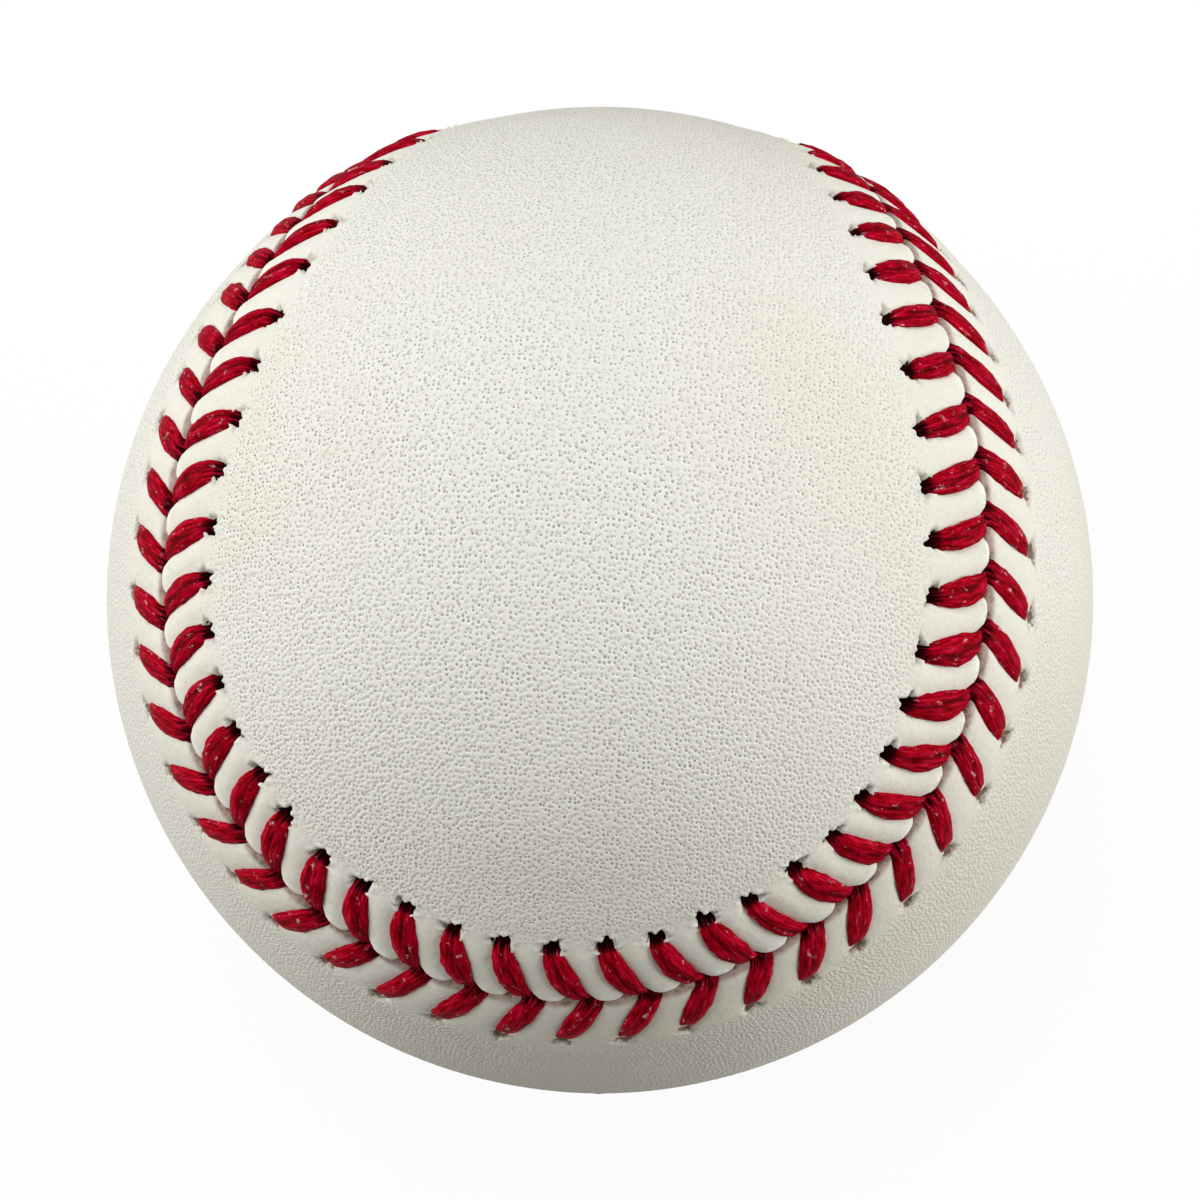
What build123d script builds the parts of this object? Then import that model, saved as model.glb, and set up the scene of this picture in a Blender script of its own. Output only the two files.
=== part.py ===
from build123d import *
from bisect import bisect
from math import cos, pi, radians, sin, tan
import os

# A baseball, built from its core outwards. All sizes are in mm.
# The origin is the centre of the ball. +Z runs through the middle of one lobe of panel a,
# +Y through the waist of panel a, and +X through the middle of one lobe of panel b.

# Layers, from the middle outwards
cork_diameter = 20.64
black_rubber_thickness = 3.97
red_rubber_thickness = 2.38
first_wool_thickness = 14.68
second_wool_thickness = 1.75
third_wool_thickness = 2.25
cotton_thickness = 0.25
leather_thickness = 1.3

# Gasket that seals the joint between the two black rubber half shells
gasket_width = 2.4
gasket_depth = 1.2

# Seam line: width of a panel at its waist, and the angle at which the seam crosses the equator
waist_width = 30.95
crossing_angle = 15.1
seam_gap = 0.8

# Raised lip of each panel along the seam, with the thread lying under it
lip_rise = 0.5
lip_margin = 0.7
lip_slope = 2.2

# Stitch holes, one row in each panel
stitch_count = 108
hole_diameter = 1.5
hole_offset = 5.17
first_hole = 0.9

# Stitches: how far along the seam each one runs on its way from its hole to the seam gap
advance_a = 1.66
advance_b = 3.17
stitch_width = 1.75
stitch_height = 0.75
stitch_end_width = 1.25
stitch_end_height = 0.6
strand_width = 1.05
strand_fill = 0.8
strand_flat = 0.5

# How far the ends of a thread are tucked under the lip, as a share of the way from the gap to a hole
start_tuck = 0.6
end_tuck = 0.3

# Clear space round the thread, at the leather and at the winding
thread_clearance = 0.05

# How far a cutting body is drawn past the body that it cuts
cut_past = 0.25

# How finely the seam line is followed
seam_steps = 3600
wall_count = 24
wall_points = 4

# Radius of each layer
cork_radius = cork_diameter / 2
black_radius = cork_radius + black_rubber_thickness
red_radius = black_radius + red_rubber_thickness
first_wool_radius = red_radius + first_wool_thickness
second_wool_radius = first_wool_radius + second_wool_thickness
third_wool_radius = second_wool_radius + third_wool_thickness
wound_radius = third_wool_radius + cotton_thickness
ball_radius = wound_radius + leather_thickness
lip_radius = ball_radius + lip_rise
channel_radius = wound_radius + lip_rise

# The seam is a curve of two terms, set by the waist and by the crossing angle
waist_ratio = tan(waist_width / (2 * ball_radius))
crossing_ratio = tan(radians(crossing_angle))
seam_swing = 2 / (2 * crossing_ratio + 3 * waist_ratio)
seam_lobe = 1 - waist_ratio * seam_swing


def seam_direction(turn):
    x = sin(turn) + seam_lobe * sin(3 * turn)
    y = -seam_swing * cos(2 * turn)
    z = cos(turn) - seam_lobe * cos(3 * turn)
    return Vector(x, y, z).normalized()


def seam_axes(turn, offset=0):
    """Outward, along and across directions at a distance across from the seam, towards panel a."""
    nudge = pi / seam_steps
    out = seam_direction(turn)
    along = (seam_direction(turn + nudge) - seam_direction(turn - nudge)).normalized()
    across = out.cross(along)
    angle = offset / ball_radius
    return out * cos(angle) + across * sin(angle), along, across * cos(angle) - out * sin(angle)


def seam_place(turn, offset, radius):
    return seam_axes(turn, offset)[0] * radius


# Distance travelled along the seam, to space the stitches evenly
turns = [2 * pi * step / seam_steps for step in range(seam_steps + 1)]
travelled = [0.0]
for before, after in zip(turns, turns[1:]):
    step_length = (seam_direction(after) - seam_direction(before)).length * ball_radius
    travelled.append(travelled[-1] + step_length)
seam_length = travelled[-1]
stitch_pitch = seam_length / stitch_count


def turn_at(distance):
    laps, rest = divmod(distance, seam_length)
    step = bisect(travelled, rest) - 1
    part = (rest - travelled[step]) / (travelled[step + 1] - travelled[step])
    return 2 * pi * (laps + (step + part) / seam_steps)


def ball(radius):
    return Solid.make_sphere(radius, angle1=-90, angle2=90)


def hollow_ball(outer, inner):
    return ball(outer) - ball(inner)


def seam_run(index, offset, radius):
    """One stretch of a line that keeps its distance from the seam."""
    spread = [2 * pi * (index + step / wall_points) / wall_count for step in range(wall_points + 1)]
    nudge = pi / seam_steps
    ends = [
        seam_place(turn + nudge, offset, radius) - seam_place(turn - nudge, offset, radius)
        for turn in (spread[0], spread[-1])
    ]
    points = [seam_place(turn, offset, radius) for turn in spread]
    return Edge.make_spline(points, tangents=[end.normalized() for end in ends])


def seam_wall(low_offset, low_radius, high_offset, high_radius):
    """A wall that follows the seam all the way round, upright or sloping."""
    runs = [
        (seam_run(index, low_offset, low_radius), seam_run(index, high_offset, high_radius))
        for index in range(wall_count)
    ]
    return Shell([Face.make_surface_from_curves(low, high) for low, high in runs])


def split_piece(solid, wall, inside):
    """The piece of a solid, cut along a wall, that holds a given point."""
    pieces = split(solid, bisect_by=wall, keep=Keep.ALL).solids()
    return next(piece for piece in pieces if piece.is_inside(inside))


def sloping_wall(side, foot, foot_radius, below, above):
    """The slope of a lip, through its foot on a sphere and drawn on past both of its ends."""
    steepness = lip_slope / lip_rise
    low = side * (foot + below * steepness)
    high = side * (foot - above * steepness)
    return seam_wall(low, foot_radius - below, high, foot_radius + above)


def hole_turn(index):
    return turn_at(index * stitch_pitch + first_hole)


def awl_hole(index, side):
    out, along, across = seam_axes(hole_turn(index), side * hole_offset)
    place = Plane(origin=out * ball_radius, x_dir=across, z_dir=out)
    return place * Cylinder(hole_diameter / 2, 2 * (leather_thickness + 2 * lip_rise))


def cover_panel(side):
    """A figure-eight of leather, raised along its edge, with a row of holes near the seam."""
    waist = Vector(0, side, 0)
    edge = side * seam_gap / 2
    blank = hollow_ball(lip_radius, wound_radius)
    edge_wall = seam_wall(edge, wound_radius - cut_past, edge, lip_radius + cut_past)
    panel = split_piece(blank, edge_wall, waist * (ball_radius - leather_thickness / 2))

    channel_foot = hole_offset + hole_diameter / 2 + lip_margin + lip_slope
    lip_foot = channel_foot + leather_thickness * lip_rise / lip_slope
    above_field = hollow_ball(lip_radius + cut_past, ball_radius)
    lip_wall = sloping_wall(side, lip_foot, ball_radius, cut_past, lip_rise + 2 * cut_past)
    field = split_piece(above_field, lip_wall, waist * (ball_radius + lip_rise / 2))

    under_lip = hollow_ball(channel_radius, wound_radius - cut_past)
    channel_wall = sloping_wall(side, channel_foot, wound_radius, 2 * cut_past, lip_rise + cut_past)
    channel = split_piece(under_lip, channel_wall, seam_place(0, 0, wound_radius + lip_rise / 2))

    holes = [awl_hole(index, side) for index in range(stitch_count)]
    return panel - [field, channel] - holes


# The strand is as thick as its room under the lip, in a hole and in the seam gap lets it be
under_sag = hole_offset**2 / (8 * wound_radius)
under_height = lip_rise - under_sag - 2 * thread_clearance
under_radius = channel_radius - thread_clearance - under_height / 2
hole_thickness = strand_fill * (hole_diameter - 2 * thread_clearance) / 2
gap_thickness = seam_gap - 2 * thread_clearance


def strand_ring(centre, wide, deep):
    """The six corners of the strand's section: two at its sides, and two on each of its flats."""
    flat = strand_flat
    corners = [(1, 0), (flat, 1), (-flat, 1), (-1, 0), (-flat, -1), (flat, -1)]
    return [centre + wide * w + deep * d for w, d in corners]


def strand_solid(rings):
    """A closed strand: six ruled sides from each ring to the next, and a flat at each end."""
    faces = [Face(Wire.make_polygon(ring, close=True)) for ring in (rings[0], rings[-1])]
    for ring, following in zip(rings, rings[1:]):
        for corner in range(len(ring)):
            start = Edge.make_line(ring[corner - 1], ring[corner])
            end = Edge.make_line(following[corner - 1], following[corner])
            faces.append(Face.make_surface_from_curves(start, end))
    return Solid(Shell(faces))


def width_axis(start, end, out, along):
    """Level, square to a run of the strand, and pointing along the seam."""
    level = out.cross(end - start).normalized()
    return level if level.dot(along) > 0 else -level


def over_radius(height):
    return lip_radius + thread_clearance + height / 2


def stitch_rings(index, side):
    """Up through a hole, over the lip and down the seam gap: the rings of one stitch."""
    advance = advance_a if side > 0 else advance_b
    hole_at = hole_turn(index)
    gap_at = turn_at(index * stitch_pitch + first_hole + advance)
    hole_out, hole_along, hole_across = seam_axes(hole_at, side * hole_offset)
    gap_out, gap_along, gap_across = seam_axes(gap_at)

    hole_foot = hole_out * under_radius
    hole_top = hole_out * over_radius(stitch_end_height)
    gap_top = gap_out * over_radius(stitch_end_height)
    gap_foot = gap_out * under_radius
    middle_out = (hole_out + gap_out).normalized()
    middle = middle_out * over_radius(stitch_height)
    wide = width_axis(hole_top, gap_top, middle_out, gap_along)

    half_under = under_height / 2
    half_end = stitch_end_height / 2
    half_hole = hole_thickness / 2
    half_gap = gap_thickness / 2
    foot_deep = hole_across * half_hole - hole_out * half_under * side
    top_deep = hole_across * half_hole + hole_out * half_end * side
    gap_top_deep = gap_out * half_end * side - gap_across * half_gap
    gap_foot_deep = gap_out * half_under * side - gap_across * half_gap
    return [
        strand_ring(hole_foot, hole_along * stitch_end_width / 2, foot_deep),
        strand_ring(hole_top, wide * stitch_end_width / 2, top_deep),
        strand_ring(middle, wide * stitch_width / 2, middle_out * side * stitch_height / 2),
        strand_ring(gap_top, gap_along * strand_width / 2, gap_top_deep),
        strand_ring(gap_foot, gap_along * strand_width / 2, gap_foot_deep),
    ]


def strand_tail(index, side, share):
    """An end of a strand, tucked under the lip on its way to a hole."""
    other_advance = advance_b if side > 0 else advance_a
    gap_at = turn_at((index - 1) * stitch_pitch + first_hole + other_advance)
    gap_out, along, _ = seam_axes(gap_at)
    hole_out, _, _ = seam_axes(hole_turn(index), side * hole_offset)
    out = (gap_out * (1 - share) + hole_out * share).normalized()
    wide = width_axis(gap_out, hole_out, out, along)
    return strand_ring(out * under_radius, wide * strand_width / 2, out * -side * under_height / 2)


def seam_thread(first_side):
    """One needle's thread: it changes panel at every stitch, all the way round the seam."""
    sides = [first_side * (-1) ** index for index in range(stitch_count + 1)]
    rings = [strand_tail(0, sides[0], start_tuck)]
    for index in range(stitch_count):
        rings += stitch_rings(index, sides[index])
    rings.append(strand_tail(stitch_count, sides[stitch_count], end_tuck))
    centres = [sum(ring, Vector()) / len(ring) for ring in rings]
    length = sum((after - before).length for before, after in zip(centres, centres[1:]))
    thread = strand_solid(rings)
    print(f"thread: {length:.0f} mm long, {thread.volume / length:.2f} mm2 in section on average")
    return thread


def gasket_blank():
    ring = Cylinder(black_radius, gasket_width) - Cylinder(black_radius - gasket_depth, gasket_width)
    return ring & ball(black_radius)


def black_half(turned):
    """Half of the black rubber shell, rebated for its share of the gasket."""
    half = Solid.make_sphere(black_radius, angle1=0, angle2=90) - ball(cork_radius)
    return Rot(turned, 0, 0) * (half - gasket_blank())


parts = {
    "cork_core": ball(cork_radius),
    "black_rubber_shell_upper": black_half(0),
    "black_rubber_shell_lower": black_half(180),
    "red_rubber_gasket": gasket_blank(),
    "red_rubber_layer": hollow_ball(red_radius, black_radius),
    "winding_first_grey_wool": hollow_ball(first_wool_radius, red_radius),
    "winding_second_white_wool": hollow_ball(second_wool_radius, first_wool_radius),
    "winding_third_grey_wool": hollow_ball(third_wool_radius, second_wool_radius),
    "winding_fourth_cotton": hollow_ball(wound_radius, third_wool_radius),
    "cover_panel_a": cover_panel(1),
    "cover_panel_b": cover_panel(-1),
    "seam_thread_a": seam_thread(1),
    "seam_thread_b": seam_thread(-1),
}

os.makedirs("parts", exist_ok=True)
for name, part in parts.items():
    export_step(part, f"parts/{name}.step")
print(f"ball: {2 * ball_radius:.2f} mm across the leather, seam {seam_length:.1f} mm long")
print(f"stitches: {stitch_count} in each panel, {stitch_pitch:.3f} mm apart")
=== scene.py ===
import bpy
import numpy as np
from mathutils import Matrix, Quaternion, Vector


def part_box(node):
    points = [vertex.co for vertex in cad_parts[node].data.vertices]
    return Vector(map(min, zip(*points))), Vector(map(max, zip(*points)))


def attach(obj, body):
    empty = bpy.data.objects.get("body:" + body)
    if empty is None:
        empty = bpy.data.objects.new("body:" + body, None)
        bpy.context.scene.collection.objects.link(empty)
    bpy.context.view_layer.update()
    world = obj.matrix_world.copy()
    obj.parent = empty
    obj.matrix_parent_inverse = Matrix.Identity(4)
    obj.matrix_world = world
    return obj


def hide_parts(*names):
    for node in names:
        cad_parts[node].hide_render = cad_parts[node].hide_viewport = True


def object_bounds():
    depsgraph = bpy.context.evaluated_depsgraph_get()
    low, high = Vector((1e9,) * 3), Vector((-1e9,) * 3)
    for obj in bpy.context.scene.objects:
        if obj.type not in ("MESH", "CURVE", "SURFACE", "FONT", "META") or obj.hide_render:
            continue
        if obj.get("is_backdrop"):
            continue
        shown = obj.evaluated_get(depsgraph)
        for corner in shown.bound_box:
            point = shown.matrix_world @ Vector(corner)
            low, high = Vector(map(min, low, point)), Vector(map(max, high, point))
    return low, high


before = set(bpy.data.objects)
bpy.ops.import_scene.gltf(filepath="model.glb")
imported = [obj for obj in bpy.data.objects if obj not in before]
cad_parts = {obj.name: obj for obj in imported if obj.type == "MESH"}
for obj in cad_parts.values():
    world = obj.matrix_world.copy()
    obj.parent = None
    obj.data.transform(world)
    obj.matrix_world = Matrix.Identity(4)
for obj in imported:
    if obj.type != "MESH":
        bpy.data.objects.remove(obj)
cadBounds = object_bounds()
bpy.context.scene.view_settings.view_transform = "Standard"
mm = 0.001

# the seam line, in mm, worked out the same way as on the solids
seamLine = {
    "waistWidth": 30.95,      # across a panel at its waist
    "crossingAngle": 15.1,    # degrees, where the seam crosses the equator
    "stitchCount": 108,
    "firstHole": 0.9,
    "steps": 8640,
    "finer": 8,               # points drawn to a step, before they are evenly spaced
}
stitchCount = seamLine["stitchCount"]
firstHole = seamLine["firstHole"]
boxLow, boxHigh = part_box("cover_panel_a")
ballRadius = (boxHigh[2] - boxLow[2]) / 2 / mm


def unit(vectors):
    return vectors / np.linalg.norm(vectors, axis=-1, keepdims=True)


def drawSeam(line):
    waist = np.tan(line["waistWidth"] / (2 * ballRadius))
    crossing = np.tan(np.radians(line["crossingAngle"]))
    swing = 2 / (2 * crossing + 3 * waist)
    lobe = 1 - waist * swing
    turn = np.linspace(0, 2 * np.pi, line["finer"] * line["steps"] + 1)
    path = unit(np.stack([
        np.sin(turn) + lobe * np.sin(3 * turn),
        -swing * np.cos(2 * turn),
        np.cos(turn) - lobe * np.cos(3 * turn),
    ], axis=1))
    strides = np.linalg.norm(np.diff(path, axis=0), axis=1)
    gone = np.concatenate([[0], np.cumsum(strides)]) * ballRadius
    even = np.linspace(0, gone[-1], line["steps"], endpoint=False)
    out = unit(np.stack([np.interp(even, gone, path[:, axis]) for axis in range(3)], axis=1))
    along = unit(np.roll(out, -1, 0) - np.roll(out, 1, 0))
    across = np.cross(out, along)
    step = gone[-1] / line["steps"]
    bend = np.sum((np.roll(along, -1, 0) - np.roll(along, 1, 0)) * across, axis=1) / (2 * step)
    return {"length": gone[-1], "out": out, "across": across, "bend": bend}


seam = drawSeam(seamLine)
pitch = seam["length"] / stitchCount
print("seam line:", round(seam["length"], 1), "mm,", round(pitch, 3), "mm a stitch")


def readSeam(table, distance):
    count = seamLine["steps"]
    place = np.mod(distance, seam["length"]) / seam["length"] * count
    low = np.floor(place).astype(int)
    share = place - low
    if table.ndim > 1:
        share = share[..., None]
    return table[low % count] * (1 - share) + table[(low + 1) % count] * share


# distance along the seam, distance across it towards panel a, height over the ball: to a point in metres
def onBall(along, across, height):
    angle = (across / ballRadius)[..., None]
    upright = unit(readSeam(seam["out"], along))
    sideways = unit(readSeam(seam["across"], along))
    out = upright * np.cos(angle) + sideways * np.sin(angle)
    return out * (ballRadius + height)[..., None] * mm


# how much a step along the seam grows or shrinks at a distance across it
def stretchAt(along, across):
    angle = across / ballRadius
    return np.cos(angle) - readSeam(seam["bend"], along) * ballRadius * np.sin(angle)


def smooth(value, start, end):
    share = np.clip((value - start) / (end - start), 0, 1)
    return share * share * (3 - 2 * share)


# how the stitches lie: panel a is side 1, panel b is side -1
stitchLay = {
    "holeRow": {1: 5.0, -1: 5.2},      # from the seam line to a row of holes
    "advance": {1: 1.6, -1: 2.42},     # along the seam, from the hole to the seam gap
    "curl": {1: 1.5, -1: 1.08},        # above 1 the stitch leaves its hole squarely and leans later
    "pastGap": 1.1,                    # where the lean ends, as a share of the way
    "sway": 0.12,                      # hand-sewn scatter of the holes
    "drift": 0.17,
    "plumpness": 0.07,
    "leastSmudgeAndShade": 0.3,
    "seed": 41,
}
dice = np.random.default_rng(stitchLay["seed"])
scatter = {
    side: {
        "sway": dice.normal(0, stitchLay["sway"], stitchCount),
        "drift": dice.normal(0, stitchLay["drift"], stitchCount),
        "plump": 1 + dice.normal(0, stitchLay["plumpness"], stitchCount),
        "twist": dice.uniform(-1, 1, stitchCount),
        "torn": dice.uniform(0, 2 * np.pi, (3, stitchCount)),
        "smudgeAndShade": dice.uniform(stitchLay["leastSmudgeAndShade"], 1, stitchCount),
    }
    for side in (1, -1)
}


def leanAt(side, reach):
    share = np.clip(1 - reach / stitchLay["holeRow"][side], 0, stitchLay["pastGap"])
    return stitchLay["advance"][side] * share ** stitchLay["curl"][side]


def bySide(sides, values):
    return np.where(sides > 0, values[1], values[-1])


def deselectAll():
    if bpy.context.object and bpy.context.object.mode != "OBJECT":
        bpy.ops.object.mode_set(mode="OBJECT")
    bpy.ops.object.select_all(action="DESELECT")


# a flat grid to be rolled round, with the column and row of each of its points
def addGrid(name, columns, rows):
    deselectAll()
    bpy.ops.mesh.primitive_grid_add(x_subdivisions=columns, y_subdivisions=rows, size=2, calc_uvs=True)
    piece = bpy.context.object
    piece.name = name
    piece.data.name = name
    flat = np.zeros(len(piece.data.vertices) * 3)
    piece.data.vertices.foreach_get("co", flat)
    flat = flat.reshape(-1, 3)
    column = np.rint((flat[:, 0] + 1) / 2 * columns).astype(int)
    row = np.rint((flat[:, 1] + 1) / 2 * rows).astype(int)
    return piece, column, row


def placePoints(piece, points):
    piece.data.vertices.foreach_set("co", points.astype(np.float32).ravel())
    piece.data.update()


def paint(piece, name, values):
    layer = piece.data.attributes.get(name) or piece.data.attributes.new(name, "FLOAT", "POINT")
    layer.data.foreach_set("value", np.asarray(values, np.float32))


# merges the points that meet, closes open ends, turns the faces outwards and smooths them
def weld(piece):
    bpy.ops.object.mode_set(mode="EDIT")
    bpy.ops.mesh.select_all(action="SELECT")
    bpy.ops.mesh.remove_doubles(threshold=1e-7)
    bpy.ops.mesh.fill_holes(sides=0)
    bpy.ops.mesh.normals_make_consistent(inside=False)
    deselectAll()
    piece.select_set(True)
    bpy.ops.object.shade_smooth()
    triangles = sum(len(face.vertices) - 2 for face in piece.data.polygons)
    print("welded:", piece.name, triangles, "triangles")


# cover panels: a fine sewn band, a coarser slope, a grid over the field, and the flesh side below
coverPanel = {
    "columns": {"sewn": 16, "slope": 8, "rim": 4, "flesh": 2},    # to a stitch
    "gather": 0.5,                      # how far the columns crowd round the holes
    "fieldAcross": 24,
    "bandRows": [(4.2, 13), (6.0, 15), (7.1, 5)],    # distance from the edge and rows up to it
    "slopeRows": [7.7, 8.4, 9.2, 10.0],
    "rimRows": [10.7, 11.4],
    "underRows": [0.9, 6.9],
    "fleshRows": [9.2, 10.4],
    "fleshRaw": 0.6,
    "thickness": 1.3,
    "lipRise": 0.14,
    "lipTop": 5.9,
    "lipFoot": 9.6,
    "lipWave": 0.05,                    # slow rise and fall along the lip
    "lipWaveTurns": (20, 7),
    "lipWaveFade": (5, 7),
    "smoothLip": (4.6, 6.9),            # from where pores begin to where they are all there
    "edge": {1: 0.12, -1: 0.02},        # from the seam line to the cut edge
    "edgeRound": {1: 0.3, -1: 0.5},
    "edgeArc": [0, 22.5, 45, 67.5],
    "edgeFoot": [-1.2, -0.85],
    # width of the painted highlight along the rounded cut edge
    "edgeHighlight": 0.28,
    # how far from the cut edge the painted crease shade reaches
    "creaseShadeWidth": 0.9,
    "pinch": {1: 0.40, -1: 0.10},       # drawn back by each stitch
    "tongue": {1: 0.26, -1: 0.06},      # pushed out between stitches
    "tongueWidth": {1: 0.98, -1: 1.0},
    "pullFade": 1.2,
    "groove": {1: 0.26, -1: 0.20},      # pressed down under a stitch
    "bulge": {1: 0.21, -1: 0.15},       # swollen between two stitches
    "grooveWidth": {1: 0.95, -1: 0.92},
    "sewnFade": (-1.5, 1.3),            # the grooves fade out from before the holes to past them
    "holeLong": {1: 0.58, -1: 0.42},
    "holeWide": {1: 0.60, -1: 0.62},
    "holeSquare": 2.6,
    "holeDepth": {1: 1.1, -1: 0.4},
    "holePast": {1: 0.0, -1: 0.15},     # beyond the row of holes
    "tatters": [(3, 0.17), (5, 0.13), (9, 0.12)],    # waves round a hole and how far they tear it
    "pitWall": (0.72, 1.12),            # in hole sizes from its middle, as the next five are
    "rimMiddle": 1.3,
    "rimWidth": 0.26,
    "rimFade": (1.3, 1.75),
    # smudge and painted shade round a hole, from its rim outwards
    "smudgeAndShadeFrom": 0.9,
    "smudgeAndShadeWidth": 0.5,
    "rimWaves": 6,
    "rimRise": {1: 0.22, -1: 0.05},
    "raw": {1: [1, 1, 1, 0.7, 0.2, 0, 0], -1: [1, 1, 1, 1, 1, 1, 0.8, 0.2]},
}


# how far each place on a panel is from the middle line of its nearest stitch
def besideStitch(side, along, reach):
    lean = leanAt(side, reach)
    index = np.rint((along - firstHole - lean) / pitch).astype(int)
    pull = np.clip(reach / stitchLay["holeRow"][side], 0, 1)
    middle = index * pitch + firstHole + lean + scatter[side]["sway"][index % stitchCount] * pull
    return (along - middle) * stretchAt(along, side * reach)


# the torn hole nearest to each place: its pit, its ragged rim, which gets pale torn fibres and a painted
# highlight, and the smudge and painted shade round it
def tornHole(side, along, reach):
    cover = coverPanel
    index = np.rint((along - firstHole) / pitch).astype(int)
    own = {key: values[..., index % stitchCount] for key, values in scatter[side].items()}
    middle = index * pitch + firstHole + own["sway"]
    sides = (along - middle) * stretchAt(along, side * reach) / cover["holeWide"][side]
    runs = reach - stitchLay["holeRow"][side] - own["drift"] - cover["holePast"][side]
    runs = runs / cover["holeLong"][side]
    angle = np.arctan2(sides, runs)
    square = cover["holeSquare"]
    whole = (np.abs(sides) ** square + np.abs(runs) ** square) ** (1 / square)
    ragged = 0
    for (waves, size), start in zip(cover["tatters"], own["torn"]):
        ragged = ragged + size * np.sin(waves * angle + start)
    torn = whole * (1 + ragged)
    pit = 1 - smooth(torn, *cover["pitWall"])
    rim = np.exp(-((torn - cover["rimMiddle"]) / cover["rimWidth"]) ** 2)
    rim = rim * (0.5 + 0.5 * np.sin(cover["rimWaves"] * angle + own["torn"][2])) * (1 - pit)
    rim = rim * (1 - smooth(whole, *cover["rimFade"]))
    smudgeAndShade = np.exp(-(np.maximum(torn - cover["smudgeAndShadeFrom"], 0) / cover["smudgeAndShadeWidth"]) ** 2)
    return pit, rim, own["smudgeAndShade"] * smudgeAndShade


def lipHeight(reach):
    return coverPanel["lipRise"] * (1 - smooth(reach, coverPanel["lipTop"], coverPanel["lipFoot"]))


# the sewn leather: its distance from the seam, its height and what is painted on it
def shapeLeather(side, along, inset, profile):
    cover = coverPanel
    reach = cover["edge"][side] + inset
    aside = besideStitch(side, along, reach)
    press = np.exp(-(aside / cover["grooveWidth"][side]) ** 2)
    blunt = np.exp(-(aside / cover["tongueWidth"][side]) ** 4)
    pull = cover["pinch"][side] * blunt - cover["tongue"][side] * (1 - blunt)
    reach = reach + pull * np.exp(-inset / cover["pullFade"])
    fadeStart, fadeEnd = [stitchLay["holeRow"][side] + past for past in cover["sewnFade"]]
    swelling = cover["bulge"][side] * (1 - press) - cover["groove"][side] * press
    height = profile + lipHeight(reach) + (1 - smooth(reach, fadeStart, fadeEnd)) * swelling
    turn = 2 * np.pi * along / seam["length"]
    fast, slow = cover["lipWaveTurns"]
    wave = cover["lipWave"] * np.sin(fast * turn + side) * np.sin(slow * turn)
    height += wave * (1 - smooth(reach, *cover["lipWaveFade"]))
    pit, rim, smudgeAndShade = tornHole(side, along, reach)
    height = height - pit * cover["holeDepth"][side] + cover["rimRise"][side] * rim
    # painted highlight along the rounded cut edge, between the stitches
    edgeHighlight = np.exp(-((inset - cover["edgeRound"][side]) / cover["edgeHighlight"]) ** 2) * (1 - blunt)
    return {
        "reach": reach,
        "height": height,
        "hole": pit,
        "smudgeAndShade": smudgeAndShade,
        # pale torn fibres and painted highlight on the hole rims, painted highlight on the cut edge
        "pale": np.clip(rim + edgeHighlight, 0, 1),
        # painted shade of fine creases along the cut edge
        "creaseShade": np.exp(-inset / cover["creaseShadeWidth"]),
    }


# a band round the seam: rows of (sewn or plain, distance, height, rawness), whose outer rows
# may keep only every second or fourth column, to meet a coarser band
def addBand(name, side, columns, rows, keepFirst=1, keepLast=1):
    columns *= stitchCount
    piece, column, row = addGrid(name, columns, len(rows) - 1)
    keep = np.where(row == 0, keepFirst, np.where(row == len(rows) - 1, keepLast, 1))
    sewn, distance, height, raw = np.array(rows, float)[row].T
    along = column // keep * keep / columns * seam["length"]
    fromHole = 2 * np.pi * (along - firstHole) / pitch
    along = along - sewn * coverPanel["gather"] * pitch / (2 * np.pi) * np.sin(fromHole)
    made = shapeLeather(side, along, distance, height)
    reach = np.where(sewn > 0, made["reach"], distance)
    height = np.where(sewn > 0, made["height"], height)
    placePoints(piece, onBall(along, side * reach, height))
    for layer in ("hole", "smudgeAndShade", "pale", "creaseShade"):
        paint(piece, layer, made[layer] * sewn)
    paint(piece, "rawEdge", raw)
    paint(piece, "lip", 1 - smooth(reach, *coverPanel["smoothLip"]))
    return piece


# the open field inside a rim: rows run straight across the panel between mirrored points of the rim
def addField(name, side, columns, reach, height, raw):
    columns *= stitchCount
    piece, column, row = addGrid(name, coverPanel["fieldAcross"], columns // 2)
    middle = 0 if side > 0 else seam["length"] / 4
    gone = row / columns * seam["length"]
    reaches = np.full(len(row), side * reach)
    heights = np.full(len(row), float(height))
    share = (column / coverPanel["fieldAcross"])[:, None]
    before = onBall(middle - gone, reaches, heights)
    after = onBall(middle + gone, reaches, heights)
    placePoints(piece, unit(before * (1 - share) + after * share) * (ballRadius + height) * mm)
    paint(piece, "rawEdge", np.full(len(row), raw))
    return piece


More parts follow.
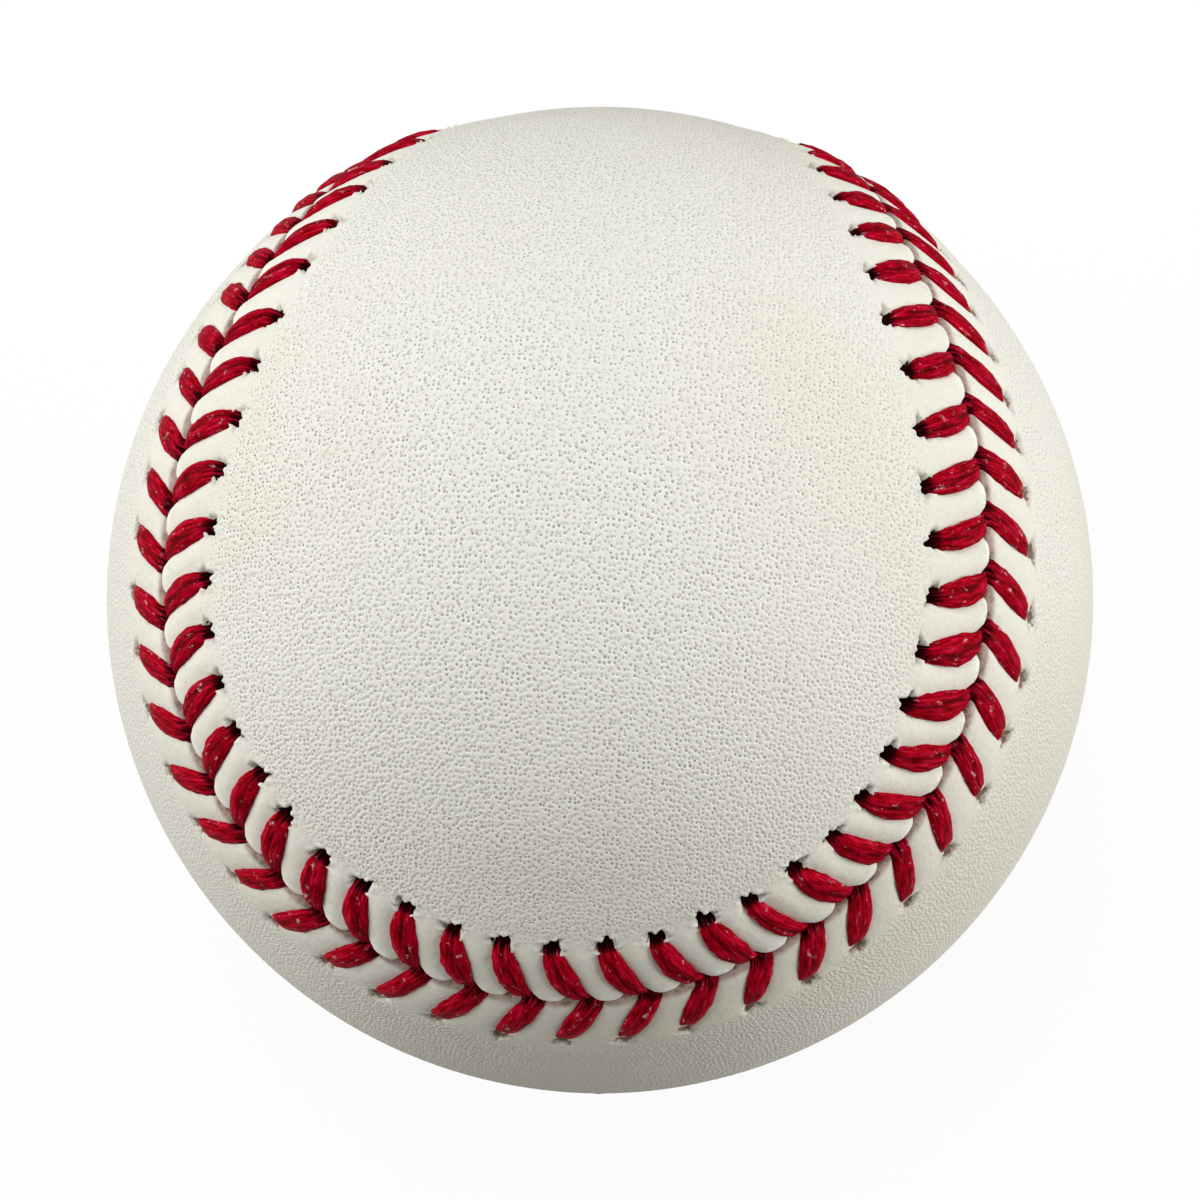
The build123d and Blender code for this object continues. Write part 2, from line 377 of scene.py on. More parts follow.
def addPanel(name, side):
    cover = coverPanel
    rounding = cover["edgeRound"][side]
    arc = np.radians(cover["edgeArc"])
    flats = [rounding]
    for end, count in cover["bandRows"]:
        flats.extend(np.linspace(flats[-1], end, count + 1)[1:])
    flats = np.array(flats)
    insets = np.concatenate([[0, 0], rounding * (1 - np.cos(arc)), flats])
    drops = np.concatenate([cover["edgeFoot"], -rounding * (1 - np.sin(arc)), 0 * flats])
    raws = np.zeros(len(insets))
    raws[:len(cover["raw"][side])] = cover["raw"][side]
    sewn = [(1, inset, drop, raw) for inset, drop, raw in zip(insets, drops, raws)]
    slope = [(0, reach, lipHeight(reach), 0) for reach in cover["slopeRows"]]
    rim = [(0, reach, lipHeight(reach), 0) for reach in cover["rimRows"]]

    # flesh side: flat under the lip, then down onto the winding
    underLip = cover["lipRise"] - cover["thickness"]
    under = [sewn[0]] + [(0, reach, underLip, cover["fleshRaw"]) for reach in cover["underRows"]]
    flesh = [under[-1]] + [(0, reach, -cover["thickness"], cover["fleshRaw"]) for reach in cover["fleshRows"]]

    fine, middling, coarse, coarsest = [cover["columns"][band] for band in ("sewn", "slope", "rim", "flesh")]
    parts = [
        addBand(name, side, fine, sewn, fine // coarse, fine // middling),
        addBand(name + "Slope", side, middling, [sewn[-1]] + slope, 1, middling // coarse),
        addBand(name + "Rim", side, coarse, [slope[-1]] + rim),
        addField(name + "Field", side, coarse, rim[-1][1], rim[-1][2], 0),
        addBand(name + "Under", side, coarse, under, 1, coarse // coarsest),
        addBand(name + "Inner", side, coarsest, flesh),
        addField(name + "Flesh", side, coarsest, flesh[-1][1], flesh[-1][2], cover["fleshRaw"]),
    ]
    deselectAll()
    for part in parts:
        part.select_set(True)
    bpy.context.view_layer.objects.active = parts[0]
    bpy.ops.object.join()
    weld(parts[0])
    return parts[0]


# stitching: one strand that dips at its holes and at the seam gap
stitchForm = {
    "rings": 18,
    "shares": (-0.05, 1.04),            # from just inside the hole to just inside the gap
    "middle": 0.53,
    "crown": {1: 0.14, -1: 0.06},       # middle of the strand over the lip
    "slope": 0.30,
    "dive": 0.48,
    "divePower": 16,
    "lowest": -1.25,
    "places": [-0.05, 0.56, 1.04],
    "wide": {1: [0.90, 1.82, 1.26], -1: [1.02, 1.72, 1.62]},
    "thick": {1: [0.56, 0.84, 0.58], -1: [0.54, 0.78, 0.62]},
    "around": 20,
    "plyGroove": {1: 0.40, -1: 0.20},
    "plyWidth": 0.17,
    # how dark the painted shade along the ply groove is
    "plyShade": {1: 1, -1: 0.45},
    "twist": 0.7,                       # of the ply line, from the hole to the gap
    "twistScatter": 0.3,
    "underShares": [0.25, 0.5, 0.8],    # of the way under the lip to the next hole
    "underHeight": -1.46,
    "underWide": 1.05,
    "underThick": 0.3,
    "fray": 0.045,
    # painted shade where the strand dives into its hole and into the seam gap
    "holeShade": {1: (0.13, 0.01), -1: (0.06, -0.03)},
    "gapShade": {1: (0.93, 1.03), -1: (0.7, 1.0)},
    "gapShadeStrength": {1: 0.5, -1: 0.55},
}


def swell(share, sizes):
    first, middle, last = stitchForm["places"]
    climb = np.clip((share - first) / (middle - first), 0, 1)
    rise = sizes[0] + (sizes[1] - sizes[0]) * np.sin(np.pi / 2 * climb)
    fall = (sizes[1] - sizes[2]) * smooth(share, middle, last)
    return rise - fall


def strandHeight(side, share):
    form = stitchForm
    away = np.abs(share - form["middle"]) * 2
    height = form["crown"][side] - form["slope"] * away ** 2 - form["dive"] * away ** form["divePower"]
    return coverPanel["lipRise"] + np.maximum(height, form["lowest"])


# the middle line of a strand that changes panel at every stitch, with its width and thickness on the way
def runStrand(firstSide):
    form = stitchForm
    low, high = form["shares"]
    share = low + (high - low) * (1 - np.cos(np.linspace(0, np.pi, form["rings"]))) / 2
    under = np.array(form["underShares"])
    measures = ("along", "across", "height", "wide", "thick", "share", "twist", "side", "hole")
    runs = {key: [] for key in measures}

    def keep(count, **values):
        for key, value in values.items():
            runs[key].append(np.broadcast_to(np.asarray(value, float), count))

    for index in range(stitchCount):
        side = firstSide * (-1) ** index
        own = {key: values[..., index] for key, values in scatter[side].items()}
        row = stitchLay["holeRow"][side]
        hole = row + own["drift"]
        reach = hole * (1 - share)
        along = index * pitch + firstHole + leanAt(side, reach * row / hole)
        along = along + own["sway"] * np.clip(1 - share, 0, 1)
        plump = 1 + (own["plump"] - 1) * np.sin(np.pi * np.clip(share, 0, 1))
        keep(
            len(share), along=along, across=side * reach, height=strandHeight(side, share),
            wide=swell(share, form["wide"][side]) * plump, thick=swell(share, form["thick"][side]),
            share=share, twist=form["twist"] * (share - 0.5) + form["twistScatter"] * own["twist"],
            side=side, hole=hole,
        )
        # under the other panel's lip to its next hole
        nextHole = (index + 1) * pitch + firstHole
        keep(
            len(under), along=along[-1] + (nextHole - along[-1]) * under,
            across=-side * stitchLay["holeRow"][-side] * under,
            height=coverPanel["lipRise"] + form["underHeight"],
            wide=form["underWide"], thick=form["underThick"], share=-1, twist=0, side=-side, hole=row,
        )
    return {key: np.concatenate(value)[:-len(under)] for key, value in runs.items()}


def addStrand(name, firstSide):
    form = stitchForm
    low, high = form["shares"]
    run = runStrand(firstSide)
    stretch = stretchAt(run["along"], run["across"])
    path = np.stack([run["along"], run["across"], run["height"]], axis=1)
    heading = np.gradient(path, axis=0)
    heading[:, 0] *= stretch
    heading = unit(heading)
    level = np.stack([-heading[:, 1], heading[:, 0], np.zeros(len(path))], axis=1)
    level = unit(level) * np.where(level[:, :1] < 0, -1, 1)
    raised = unit(np.cross(heading, level))

    piece, column, row = addGrid(name, len(path) - 1, form["around"])
    angle = row / form["around"] * 2 * np.pi
    ring = {key: value[column] for key, value in run.items()}
    sewn = ring["share"] > -1
    sideways = np.cos(angle)
    deep = np.sin(angle)
    facing = np.clip(deep * np.sign(raised[column, 2]), 0, 1) * sewn
    plyLine = np.exp(-((sideways - ring["twist"]) / form["plyWidth"]) ** 2) * facing
    deep = deep * (1 - plyLine * bySide(ring["side"], form["plyGroove"]))
    offset = level[column] * (sideways * ring["wide"] / 2)[:, None]
    offset = offset + raised[column] * (deep * ring["thick"] / 2)[:, None]
    fray = dice.normal(1, form["fray"], (len(path), form["around"]))
    offset *= fray[column, row % form["around"]][:, None]
    offset[:, 0] /= stretch[column]
    points = path[column] + offset

    # both ends dip along a line beside the seam, not square to the strand
    ownShare = np.where(sewn, 1 - points[:, 1] * ring["side"] / ring["hole"], ring["share"])
    dips = {}
    shades = {}
    for side in (1, -1):
        dips[side] = strandHeight(side, np.clip(ownShare, low, high)) - strandHeight(side, ring["share"])
        intoGap = form["gapShadeStrength"][side] * smooth(ownShare, *form["gapShade"][side])
        shades[side] = np.maximum(smooth(ownShare, *form["holeShade"][side]), intoGap)
    points[:, 2] += np.where(sewn, bySide(ring["side"], dips), 0)
    placePoints(piece, onBall(points[:, 0], points[:, 1], points[:, 2]))
    # painted shade where the strand dives into hole and gap, and all of it under the other panel's lip
    paint(piece, "depth", np.where(sewn, bySide(ring["side"], shades), 1))
    # painted shade in the groove between the plies
    paint(piece, "plyLine", plyLine * bySide(ring["side"], form["plyShade"]))
    weld(piece)
    return piece


panelA = addPanel("coverPanelA", 1)
panelB = addPanel("coverPanelB", -1)
strandA = addStrand("seamThreadA", 1)
strandB = addStrand("seamThreadB", -1)


# materials
def feed(tree, socket, value):
    if isinstance(value, bpy.types.NodeSocket):
        tree.links.new(value, socket)
    elif socket.type == "RGBA" and len(value) == 3:
        socket.default_value = (*value, 1)
    else:
        socket.default_value = value


def addNode(tree, kind, values=None, **settings):
    node = tree.nodes.new(kind)
    for name, value in settings.items():
        setattr(node, name, value)
    for name, value in (values or {}).items():
        feed(tree, node.inputs[name], value)
    return node


def startMaterial(name, roughness, specular):
    material = bpy.data.materials.new(name)
    material.use_nodes = True
    tree = material.node_tree
    shader = tree.nodes["Principled BSDF"]
    shader.inputs["Roughness"].default_value = roughness
    shader.inputs["Specular IOR Level"].default_value = specular
    return material, tree, shader


# colour and bumps, each bump a height and a depth, one laid over another
def finishMaterial(tree, shader, tone, *bumps):
    tree.links.new(tone, shader.inputs["Base Color"])
    normal = None
    for height, depth in bumps:
        bump = addNode(tree, "ShaderNodeBump", {"Strength": 1.0, "Distance": depth, "Height": height})
        if normal is not None:
            tree.links.new(normal, bump.inputs["Normal"])
        normal = bump.outputs["Normal"]
    tree.links.new(normal, shader.inputs["Normal"])


def mixColour(tree, factor, first, second):
    node = addNode(tree, "ShaderNodeMix", {0: factor, 6: first, 7: second}, data_type="RGBA")
    return node.outputs[2]


# lays colours over a first one, each with its own factor
def layColours(tree, tone, layers):
    for factor, colour in layers:
        tone = mixColour(tree, factor, tone, colour)
    return tone


def spread(tree, value, low, high, start=0.0, end=1.0):
    node = addNode(tree, "ShaderNodeMapRange", {
        "Value": value, "From Min": low, "From Max": high, "To Min": start, "To Max": end,
    }, interpolation_type="SMOOTHSTEP")
    return node.outputs["Result"]


def maths(tree, operation, first, second=0.0):
    node = addNode(tree, "ShaderNodeMath", {0: first, 1: second}, operation=operation)
    return node.outputs[0]


def times(tree, first, *others):
    for other in others:
        first = maths(tree, "MULTIPLY", first, other)
    return first


def noise(tree, vector, scale, detail=3.0, roughness=0.5):
    node = addNode(tree, "ShaderNodeTexNoise", {
        "Vector": vector, "Scale": scale, "Detail": detail, "Roughness": roughness,
    })
    return node.outputs["Fac"]


# a noise and its ramp: scale, detail, roughness, then the ramp as spread takes it
def cloud(tree, vector, pattern):
    scale, detail, roughness, *ramp = pattern
    return spread(tree, noise(tree, vector, scale, detail, roughness), *ramp)


def painted(tree, name):
    return addNode(tree, "ShaderNodeAttribute", attribute_name=name).outputs["Fac"]


def objectPlace(tree):
    return addNode(tree, "ShaderNodeTexCoord").outputs["Object"]


leatherFinish = {
    "pale": (0.80, 0.79, 0.705),
    "warm": (0.76, 0.74, 0.64),
    # pale torn fibres and painted highlight on the hole rims and cut edges
    "rim": (0.90, 0.90, 0.85),
    # painted shade in the pores
    "poreShade": (0.20, 0.18, 0.135),
    # painted highlight on the rims round the pores
    "poreRimHighlight": (0.96, 0.96, 0.92),
    "rawEdge": (0.45, 0.335, 0.285),
    "rawDark": (0.20, 0.135, 0.105),
    # smudge and painted shade round the holes
    "smudgeAndShade": (0.31, 0.195, 0.13),
    # painted shade of fine creases along the cut edge, also laid faintly over the lip
    "creaseShade": (0.42, 0.33, 0.26),
    # painted shade in the hole pits: near black on panel a, brown on panel b
    "hole": {1: (0.010, 0.007, 0.006), -1: (0.30, 0.205, 0.155)},
    "smudgeAndShadeStrength": {1: 0.45, -1: 0.8},
    "creaseShadeStrength": {1: 0.25, -1: 0.6},
    "lobeAxis": {1: 2, -1: 0},
    "poreScale": 3000,
    "deepPoreScale": 1350,
    "finePores": (0.16, 0.30, -0.6),    # smallest, largest, and the lowest chance of one
    "deepPores": (0.05, 0.13, 0.3),
    "poreScatter": 0.85,
    "poreWall": (1.3, 0.5),             # in pore sizes from its middle, as the next two are
    "poreRimStart": (1.1, 1.5),
    "poreRimEnd": (2.2, 1.6),
    "cushion": (0.0, 0.6),
    "poreShadeStrength": 0.75,
    "deepPoreShadeStrength": 0.5,
    "poreRimHighlightStrength": 0.8,
    # these two fade the painted pore shade and rim highlight
    "waistFade": (-0.004, 0.012, 0.62),    # pores are fainter towards the waist and on one side
    "sideFade": (0.004, 0.026, 0.6),
    "patches": (200, 3.0, 0.5, 0.3, 0.65, 0.75, 1.0),
    "clouds": (38, 3.0, 0.5, 0.35, 0.7),
    "flecks": (1500, 4.0, 0.65, 0.5, 0.68),
    "smudgeAndShadeNoise": (900, 3.0, 0.5, 0.3, 0.7, 0.25, 1.0),
    "rawMottle": (1700, 4.0, 0.7, 0.3, 0.6),
    "tatter": (2300, 3.0, 0.6),
    "tatterOnLip": (0.52, 0.7),
    "tatterOnRim": (0.35, 0.6),
    "tatterOnHole": (0.25, 0.75, -0.4, 0.4),
    "lipMottle": 0.12,
    "holeWall": (0.42, 0.62),
    "wobbleScale": 400,                 # of the line where the two lobes' pores meet
    "wobble": 0.002,
    "lobeShift": 0.2,
    "jitterScale": 2600,
    "jitter": 0.00014,
    "wrinkles": (1100, 5.0, 0.62),
    "grain": (1500, 4.0, 0.6),
    "wrinkleDepth": 0.00010,
    "grainDepth": 0.00004,
    "poreDepth": 0.000052,
    "roughness": 0.64,
    "specular": 0.08,
}


# lays the leather flat round the middle of each lobe, so that its pores are evenly spread
def layFlat(tree, place, lobeAxis):
    look = leatherFinish
    split = addNode(tree, "ShaderNodeSeparateXYZ", {"Vector": place})
    lobe = split.outputs[lobeAxis]
    first, second = [split.outputs[axis] for axis in range(3) if axis != lobeAxis]
    wobble = spread(tree, noise(tree, place, look["wobbleScale"]), 0.0, 1.0, -look["wobble"], look["wobble"])
    half = maths(tree, "SIGN", maths(tree, "ADD", lobe, wobble))
    squares = maths(tree, "ADD", maths(tree, "POWER", first, 2.0), maths(tree, "POWER", second, 2.0))
    away = maths(tree, "MAXIMUM", maths(tree, "SQRT", squares), 1e-6)
    turned = maths(tree, "ARCTAN2", away, times(tree, lobe, half))
    grow = maths(tree, "DIVIDE", times(tree, turned, ballRadius * mm), away)
    flat = addNode(tree, "ShaderNodeCombineXYZ", {
        0: times(tree, first, grow),
        1: maths(tree, "ADD", times(tree, second, grow), times(tree, half, look["lobeShift"])),
    }).outputs[0]
    jitter = addNode(tree, "ShaderNodeTexNoise", {
        "Vector": place, "Scale": look["jitterScale"], "Detail": 2.0,
    }).outputs["Color"]
    for operation, values in (
        ("SUBTRACT", {1: (0.5, 0.5, 0.5)}),
        ("SCALE", {"Scale": look["jitter"]}),
        ("ADD", {1: flat}),
    ):
        jitter = addNode(tree, "ShaderNodeVectorMath", {0: jitter, **values}, operation=operation).outputs[0]
    return jitter


# one pore in each cell, of its own size and darkness: the pore's painted shade, its rim's painted highlight
# and the cushions between
def addPores(tree, flat, scale, smallest, largest, fewest):
    look = leatherFinish
    cells = addNode(tree, "ShaderNodeTexVoronoi", {
        "Vector": flat, "Scale": scale, "Randomness": look["poreScatter"],
    }, voronoi_dimensions="2D")
    chance = addNode(tree, "ShaderNodeSeparateColor", {"Color": cells.outputs["Color"]}).outputs
    size = spread(tree, chance[0], 0.0, 1.0, smallest, largest)
    ratio = maths(tree, "DIVIDE", cells.outputs["Distance"], size)
    strength = spread(tree, chance[1], fewest, 1.0)
    poreShade = times(tree, spread(tree, ratio, *look["poreWall"]), strength)
    rim = times(tree, spread(tree, ratio, *look["poreRimStart"]), spread(tree, ratio, *look["poreRimEnd"]))
    return poreShade, times(tree, rim, strength), spread(tree, cells.outputs["Distance"], *look["cushion"])


def makeLeather(name, side):
    look = leatherFinish
    material, tree, shader = startMaterial(name, look["roughness"], look["specular"])
    place = objectPlace(tree)
    lip = painted(tree, "lip")
    field = maths(tree, "SUBTRACT", 1.0, lip)

    # where the painted pore shade and rim highlight show
    split = addNode(tree, "ShaderNodeSeparateXYZ", {"Vector": place}).outputs
    fadeStart, fadeEnd, faintest = look["waistFade"]
    waistFade = spread(tree, split["Y"], side * fadeStart, side * fadeEnd, 1.0, faintest)
    fadeStart, fadeEnd, faintest = look["sideFade"]
    sideFade = spread(tree, split["X"], fadeStart, fadeEnd, 1.0, faintest)
    patch = times(tree, cloud(tree, place, look["patches"]), field, waistFade, sideFade)
    flat = layFlat(tree, place, look["lobeAxis"][side])
    fine, poreRimHighlight, cushion = addPores(tree, flat, look["poreScale"], *look["finePores"])
    deep = addPores(tree, flat, look["deepPoreScale"], *look["deepPores"])[0]

    tatter = noise(tree, place, *look["tatter"])
    # faint darker patches at random over the lip, in the colour of the painted crease shade
    mottle = times(tree, spread(tree, tatter, *look["tatterOnLip"]), times(tree, lip, look["lipMottle"]))
    # pale torn fibres and painted highlight on the hole rims and cut edges
    tornRimAndHighlight = times(tree, painted(tree, "pale"), spread(tree, tatter, *look["tatterOnRim"]))
    flecks = cloud(tree, place, look["flecks"])
    # painted shade of fine creases along the cut edge, broken into flecks
    edgeCreaseShade = times(tree, painted(tree, "creaseShade"), flecks, look["creaseShadeStrength"][side])
    smudgeAndShadeNoise = cloud(tree, place, look["smudgeAndShadeNoise"])
    # smudge and painted shade round the holes
    smudgeAndShade = times(tree, painted(tree, "smudgeAndShade"), smudgeAndShadeNoise, look["smudgeAndShadeStrength"][side])
    edge = mixColour(tree, cloud(tree, place, look["rawMottle"]), look["rawDark"], look["rawEdge"])
    hole = maths(tree, "ADD", painted(tree, "hole"), spread(tree, tatter, *look["tatterOnHole"]))
    tone = mixColour(tree, cloud(tree, place, look["clouds"]), look["pale"], look["warm"])
    tone = layColours(tree, tone, [
        # painted highlight round the pores, then painted shade in the fine and the deep pores
        (times(tree, poreRimHighlight, patch, look["poreRimHighlightStrength"]), look["poreRimHighlight"]),
        (times(tree, fine, patch, look["poreShadeStrength"]), look["poreShade"]),
        (times(tree, deep, field, look["deepPoreShadeStrength"]), look["poreShade"]),
        (mottle, look["creaseShade"]),
        (tornRimAndHighlight, look["rim"]),
        (edgeCreaseShade, look["creaseShade"]),
        (smudgeAndShade, look["smudgeAndShade"]),
        (painted(tree, "rawEdge"), edge),
        # painted shade in the hole pits, with a ragged edge
        (spread(tree, hole, *look["holeWall"]), look["hole"][side]),
    ])
    finishMaterial(
        tree, shader, tone,
        (times(tree, noise(tree, place, *look["wrinkles"]), lip), look["wrinkleDepth"]),
        (noise(tree, place, *look["grain"]), look["grainDepth"]),
        (times(tree, cushion, field), look["poreDepth"]),
    )
    return material


threadFinish = {
    "red": (0.48, 0.0006, 0.015),
    # painted highlight on the raised fibres
    "fibreHighlight": (0.68, 0.016, 0.085),
    # painted shade between the fibres
    "dark": (0.14, 0.0002, 0.0008),
    # painted shade in the holes, the seam gap and the ply groove
    "deepShade": (0.012, 0.0004, 0.001),
    # wax specks and painted glints
    "waxAndGlint": (0.88, 0.50, 0.56),
    "fibreStretch": (900, 24, 1),       # along the strand, round it
    "fibres": (1.0, 4.0, 0.65),
    "fibreShadeRamp": (0.34, 0.62),
    "fibreHighlightRamp": (0.5, 0.8),
    "diveShadeRamp": (0.3, 0.7, 1.9, 0.6),
    "deepShadeRamp": (0.1, 0.85),
    "speckStretch": (1200, 8, 1),
    "specks": (1.0, 4.0, 0.7, 0.595, 0.72),
    "waxAndGlintStrength": 0.75,
    "plyShadeStrength": 0.85,
    "fibreDepth": 0.00006,
    "roughness": 0.5,
    "specular": 0.012,
}


def makeThread():
    look = threadFinish
    material, tree, shader = startMaterial("waxedThread", look["roughness"], look["specular"])
    wrap = addNode(tree, "ShaderNodeTexCoord").outputs["UV"]
    fibres, specks = [
        addNode(tree, "ShaderNodeMapping", {"Vector": wrap, "Scale": look[stretch]}).outputs["Vector"]
        for stretch in ("fibreStretch", "speckStretch")
    ]
    streak = noise(tree, fibres, *look["fibres"])
    # painted shade where the strand dives into hole and gap, deeper between the fibres
    diveShade = times(tree, painted(tree, "depth"), spread(tree, streak, *look["diveShadeRamp"]))
    # the fibre noise is also the bump: low fibres get painted shade, high ones a painted highlight
    tone = mixColour(tree, spread(tree, streak, *look["fibreShadeRamp"]), look["dark"], look["red"])
    tone = layColours(tree, tone, [
        (spread(tree, streak, *look["fibreHighlightRamp"]), look["fibreHighlight"]),
        # painted shade in the ply groove
        (times(tree, painted(tree, "plyLine"), look["plyShadeStrength"]), look["deepShade"]),
        # wax specks and painted glints along the fibres
        (times(tree, cloud(tree, specks, look["specks"]), look["waxAndGlintStrength"]), look["waxAndGlint"]),
        # painted shade where the strand dives into hole and gap
        (spread(tree, diveShade, *look["deepShadeRamp"]), look["deepShade"]),
    ])
    finishMaterial(tree, shader, tone, (streak, look["fibreDepth"]))
    return material


threadMaterial = makeThread()
for piece, node, slotName, material in (
    (panelA, "cover_panel_a", "leather", makeLeather("coverLeatherA", 1)),
    (panelB, "cover_panel_b", "leather", makeLeather("coverLeatherB", -1)),
    (strandA, "seam_thread_a", "thread", threadMaterial),
    (strandB, "seam_thread_b", "thread", threadMaterial),
):
    piece.data.materials.clear()
    piece.data.materials.append(material)
    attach(piece, "root")
    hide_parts(node)
print("leather and thread dressed")

# what the cover hides keeps its solids and gets its own materials
coreFinish = {
    "cork": ((0.50, 0.33, 0.19), (0.30, 0.175, 0.09)),
    "blackRubber": ((0.030, 0.030, 0.033), (0.014, 0.014, 0.016)),
    "redRubber": ((0.46, 0.055, 0.045), (0.30, 0.030, 0.028)),
    # for the wools and cotton the second colour is painted shade where the strands lie low
    "greyWool": ((0.40, 0.40, 0.41), (0.17, 0.17, 0.18)),
    "whiteWool": ((0.80, 0.78, 0.72), (0.48, 0.45, 0.39)),
    "whiteCotton": ((0.86, 0.85, 0.80), (0.55, 0.53, 0.47)),
    "corkGloss": (0.85, 0.15),          # roughness, specular
    "rubberGloss": (0.55, 0.4),
    "yarnGloss": (0.9, 0.1),
    "granuleScale": 650,
    "granuleJoint": (0.08, 0.0),
    "granuleCushion": (0.0, 0.2),
    "granuleDepth": 0.0003,
    "rubberClouds": (180, 4.0, 0.6, 0.3, 0.7),
    "rubberGrain": 2400,
    "rubberDepth": 0.00003,
    "yarnTurns": ((0.3, 0.2, 0.0), (1.2, 0.5, 0.7), (0.4, 1.4, 2.0)),    # the ways that the yarn is wound
    "yarnWave": 0.314,                  # wave scale for a strand 1 m wide
    "yarnTop": (60, 15),                # scale of the patches that lie on top, and its step
    "yarnTopRamp": (0.48, 0.5),
    "fuzz": (4000, 3.0, 0.7),
    "fuzzStrength": 0.3,
    "yarnShadeRamp": (0.9, 0.2),
    "yarnDepth": 0.0003,
}


# pressed cork: granules of many browns with dark joints
def makeCork():
    look = coreFinish
    light, dark = look["cork"]
    material, tree, shader = startMaterial("pressedCork", *look["corkGloss"])
    cells = {"Vector": objectPlace(tree), "Scale": look["granuleScale"]}
    granule = addNode(tree, "ShaderNodeTexVoronoi", cells).outputs["Color"]
    joint = addNode(tree, "ShaderNodeTexVoronoi", cells, feature="DISTANCE_TO_EDGE").outputs["Distance"]
    shade = addNode(tree, "ShaderNodeSeparateColor", {"Color": granule}).outputs[0]
    tone = mixColour(tree, shade, light, dark)
    tone = mixColour(tree, spread(tree, joint, *look["granuleJoint"]), tone, dark)
    finishMaterial(tree, shader, tone, (spread(tree, joint, *look["granuleCushion"]), look["granuleDepth"]))
    return material


def makeRubber(name):
    look = coreFinish
    material, tree, shader = startMaterial(name, *look["rubberGloss"])
    place = objectPlace(tree)
    tone = mixColour(tree, cloud(tree, place, look["rubberClouds"]), *look[name])
    finishMaterial(tree, shader, tone, (noise(tree, place, look["rubberGrain"]), look["rubberDepth"]))
    return material


# wound yarn: strands on three great circles, one or another of them on top, with painted shade where they lie
# low
def makeYarn(name, colours, width):
    look = coreFinish
    material, tree, shader = startMaterial(name, *look["yarnGloss"])
    place = objectPlace(tree)
    topScale, topStep = look["yarnTop"]
    strands = None
    for turn, rotation in enumerate(look["yarnTurns"]):
        turned = addNode(tree, "ShaderNodeMapping", {"Vector": place, "Rotation": rotation}).outputs["Vector"]
        wave = addNode(tree, "ShaderNodeTexWave", {
            "Vector": turned, "Scale": look["yarnWave"] / (width * mm),
            "Distortion": 1.2, "Detail": 1.0, "Detail Scale": 0.4,
        }).outputs["Fac"]
        if strands is None:
            strands = wave
            continue
        onTop = spread(tree, noise(tree, turned, topScale + topStep * turn, 1.0), *look["yarnTopRamp"])
        strands = addNode(tree, "ShaderNodeMix", {0: onTop, 2: strands, 3: wave}).outputs[0]
    fuzz = times(tree, noise(tree, place, *look["fuzz"]), look["fuzzStrength"])
    height = maths(tree, "ADD", strands, fuzz)
    # painted shade where the yarn lies low, from the same height as its bump
    tone = mixColour(tree, spread(tree, height, *look["yarnShadeRamp"]), *colours)
    finishMaterial(tree, shader, tone, (height, look["yarnDepth"]))
    return material


blackRubber = makeRubber("blackRubber")
redRubber = makeRubber("redRubber")
hiddenParts = {
    "cork_core": makeCork(),
    "black_rubber_shell_upper": blackRubber,
    "black_rubber_shell_lower": blackRubber,
    "red_rubber_gasket": redRubber,
    "red_rubber_layer": redRubber,
    "winding_first_grey_wool": makeYarn("greyWoolThick", coreFinish["greyWool"], 1.6),
    "winding_second_white_wool": makeYarn("whiteWool", coreFinish["whiteWool"], 1.3),
    "winding_third_grey_wool": makeYarn("greyWoolThin", coreFinish["greyWool"], 1.3),
    "winding_fourth_cotton": makeYarn("whiteCotton", coreFinish["whiteCotton"], 0.5),
}
for node, material in hiddenParts.items():
    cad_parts[node].material_slots[0].material = material
print("hidden parts dressed")

# floor, light and camera
studio = {
    "floorSize": 4.0,
    "floorTone": (0.26, 0.225, 0.18),   # what it throws back onto the ball
    "floorSeen": (0.95, 0.95, 0.95),
    "floorGloss": (0.9, 0.1),
    "floorGlow": 0.92,                  # round the ball, where its shadow falls
    "shadowReach": (0.12, 0.45),
    "sky": 0.08,
    "skySeen": 1.0,
}
deselectAll()
bpy.ops.mesh.primitive_plane_add(size=studio["floorSize"], location=(0, 0, -ballRadius * mm))
floor = bpy.context.object
floor.name = "studioFloor"
floorMaterial, tree, shader = startMaterial("studioFloor", *studio["floorGloss"])
rays = addNode(tree, "ShaderNodeLightPath")
seen = maths(tree, "MAXIMUM", rays.outputs["Is Camera Ray"], rays.outputs["Is Glossy Ray"])
seen = maths(tree, "MAXIMUM", seen, rays.outputs["Is Transmission Ray"])
tree.links.new(mixColour(tree, seen, studio["floorTone"], studio["floorSeen"]), shader.inputs["Base Color"])
glow = addNode(tree, "ShaderNodeEmission", {"Color": (1, 1, 1, 1), "Strength": 1.0})
away = addNode(tree, "ShaderNodeVectorMath", {0: objectPlace(tree)}, operation="LENGTH").outputs["Value"]
share = spread(tree, away, *studio["shadowReach"], studio["floorGlow"], 1.0)
blend = addNode(tree, "ShaderNodeMixShader", {
    0: times(tree, seen, share), 1: shader.outputs[0], 2: glow.outputs[0],
})
tree.links.new(blend.outputs[0], tree.nodes["Material Output"].inputs["Surface"])
floor.data.materials.append(floorMaterial)
floor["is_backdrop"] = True

world = bpy.data.worlds.new("studioWorld")
bpy.context.scene.world = world
world.use_nodes = True
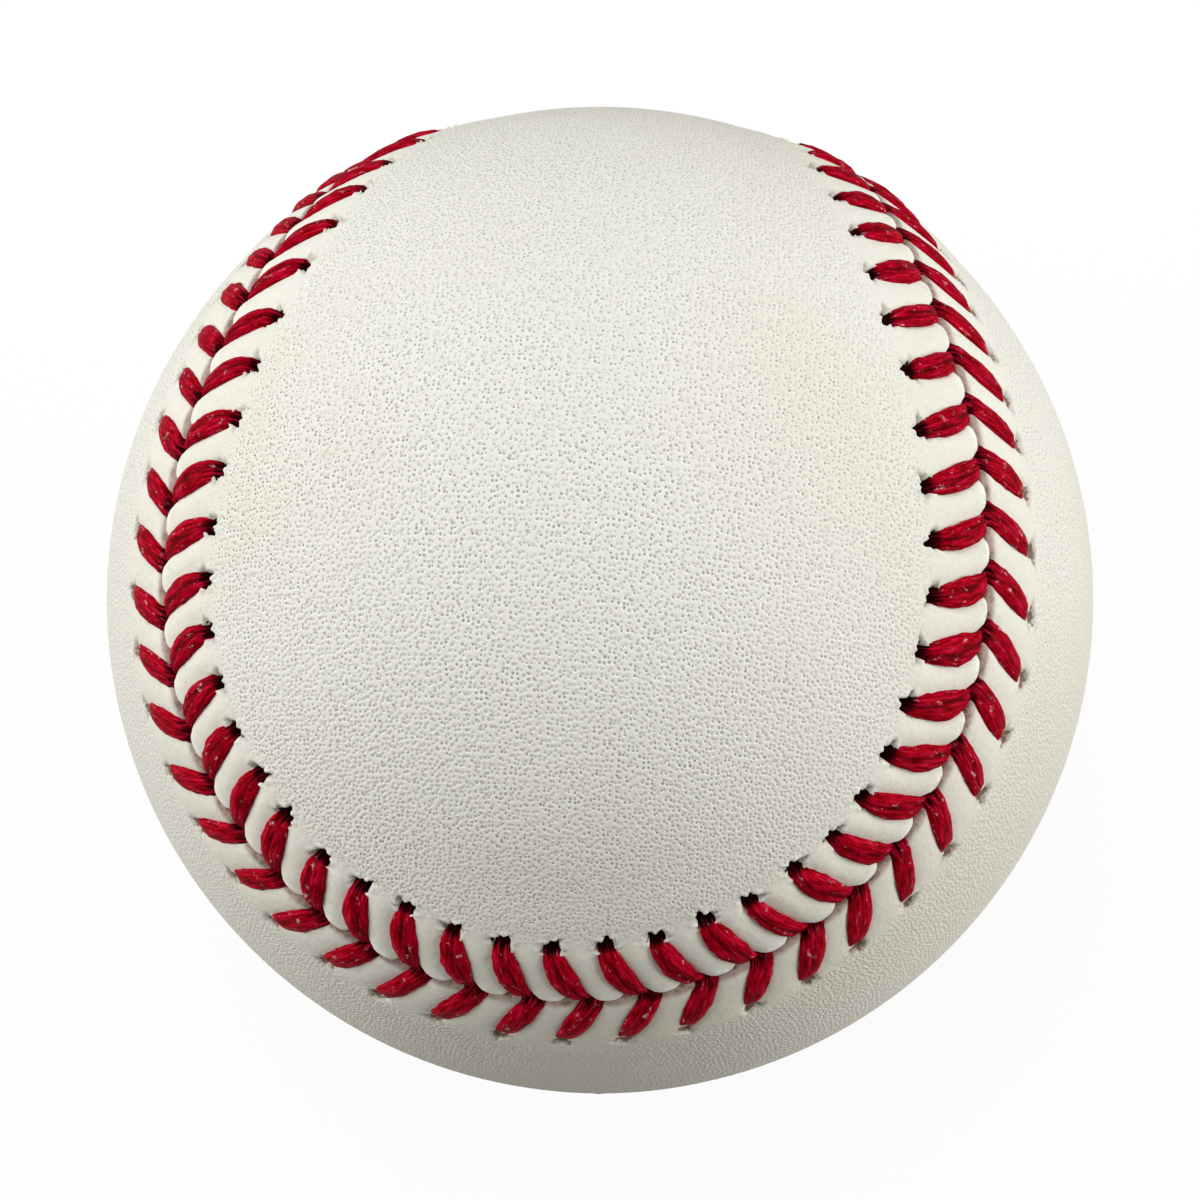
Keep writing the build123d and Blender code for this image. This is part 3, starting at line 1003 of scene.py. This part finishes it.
tree = world.node_tree
toCamera = addNode(tree, "ShaderNodeLightPath").outputs["Is Camera Ray"]
sky = addNode(tree, "ShaderNodeMix", {0: toCamera, 2: studio["sky"], 3: studio["skySeen"]}, data_type="FLOAT")
tree.links.new(sky.outputs[0], tree.nodes["Background"].inputs["Strength"])
tree.nodes["Background"].inputs["Color"].default_value = (1, 1, 1, 1)

# soft boxes: place, size, watts
softBoxes = {
    "topBox": ((0.0, 0.26, 0.54), 0.5, 2.0),
    "frontBox": ((-0.28, -0.16, 0.51), 0.5, 0.95),
    "leftBox": ((-0.55, -0.02, 0.2), 0.5, 2.4),
    "rightBox": ((0.57, -0.01, 0.12), 0.5, 3.6),
}
for name, (place, size, watts) in softBoxes.items():
    lamp = bpy.data.lights.new(name, "AREA")
    lamp.size = size
    lamp.energy = watts
    box = bpy.data.objects.new(name, lamp)
    box.location = place
    box.rotation_mode = "QUATERNION"
    box.rotation_quaternion = Vector(place).to_track_quat("Z", "Y")
    bpy.context.collection.objects.link(box)

viewpoint = {
    "distance": 0.1694,
    "azimuth": 12.58,
    "elevation": 68.19,
    "roll": -8.26,
    "lens": 66.3,
    "sensor": 36,
    "nearest": 0.005,
}
azimuth, elevation, roll = [np.radians(viewpoint[angle]) for angle in ("azimuth", "elevation", "roll")]
level = np.cos(elevation)
towards = Vector((np.sin(azimuth) * level, -np.cos(azimuth) * level, np.sin(elevation)))
cameraData = bpy.data.cameras.new("viewCamera")
cameraData.lens = viewpoint["lens"]
cameraData.sensor_width = viewpoint["sensor"]
cameraData.clip_start = viewpoint["nearest"]
camera = bpy.data.objects.new("viewCamera", cameraData)
camera.location = towards * viewpoint["distance"]
camera.rotation_mode = "QUATERNION"
camera.rotation_quaternion = towards.to_track_quat("Z", "Y") @ Quaternion((0, 0, 1), roll)
bpy.context.collection.objects.link(camera)
bpy.context.scene.camera = camera

size = {"cad": [list(corner) for corner in cadBounds], "visual": [list(corner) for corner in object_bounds()]}
print("camera and studio ready")
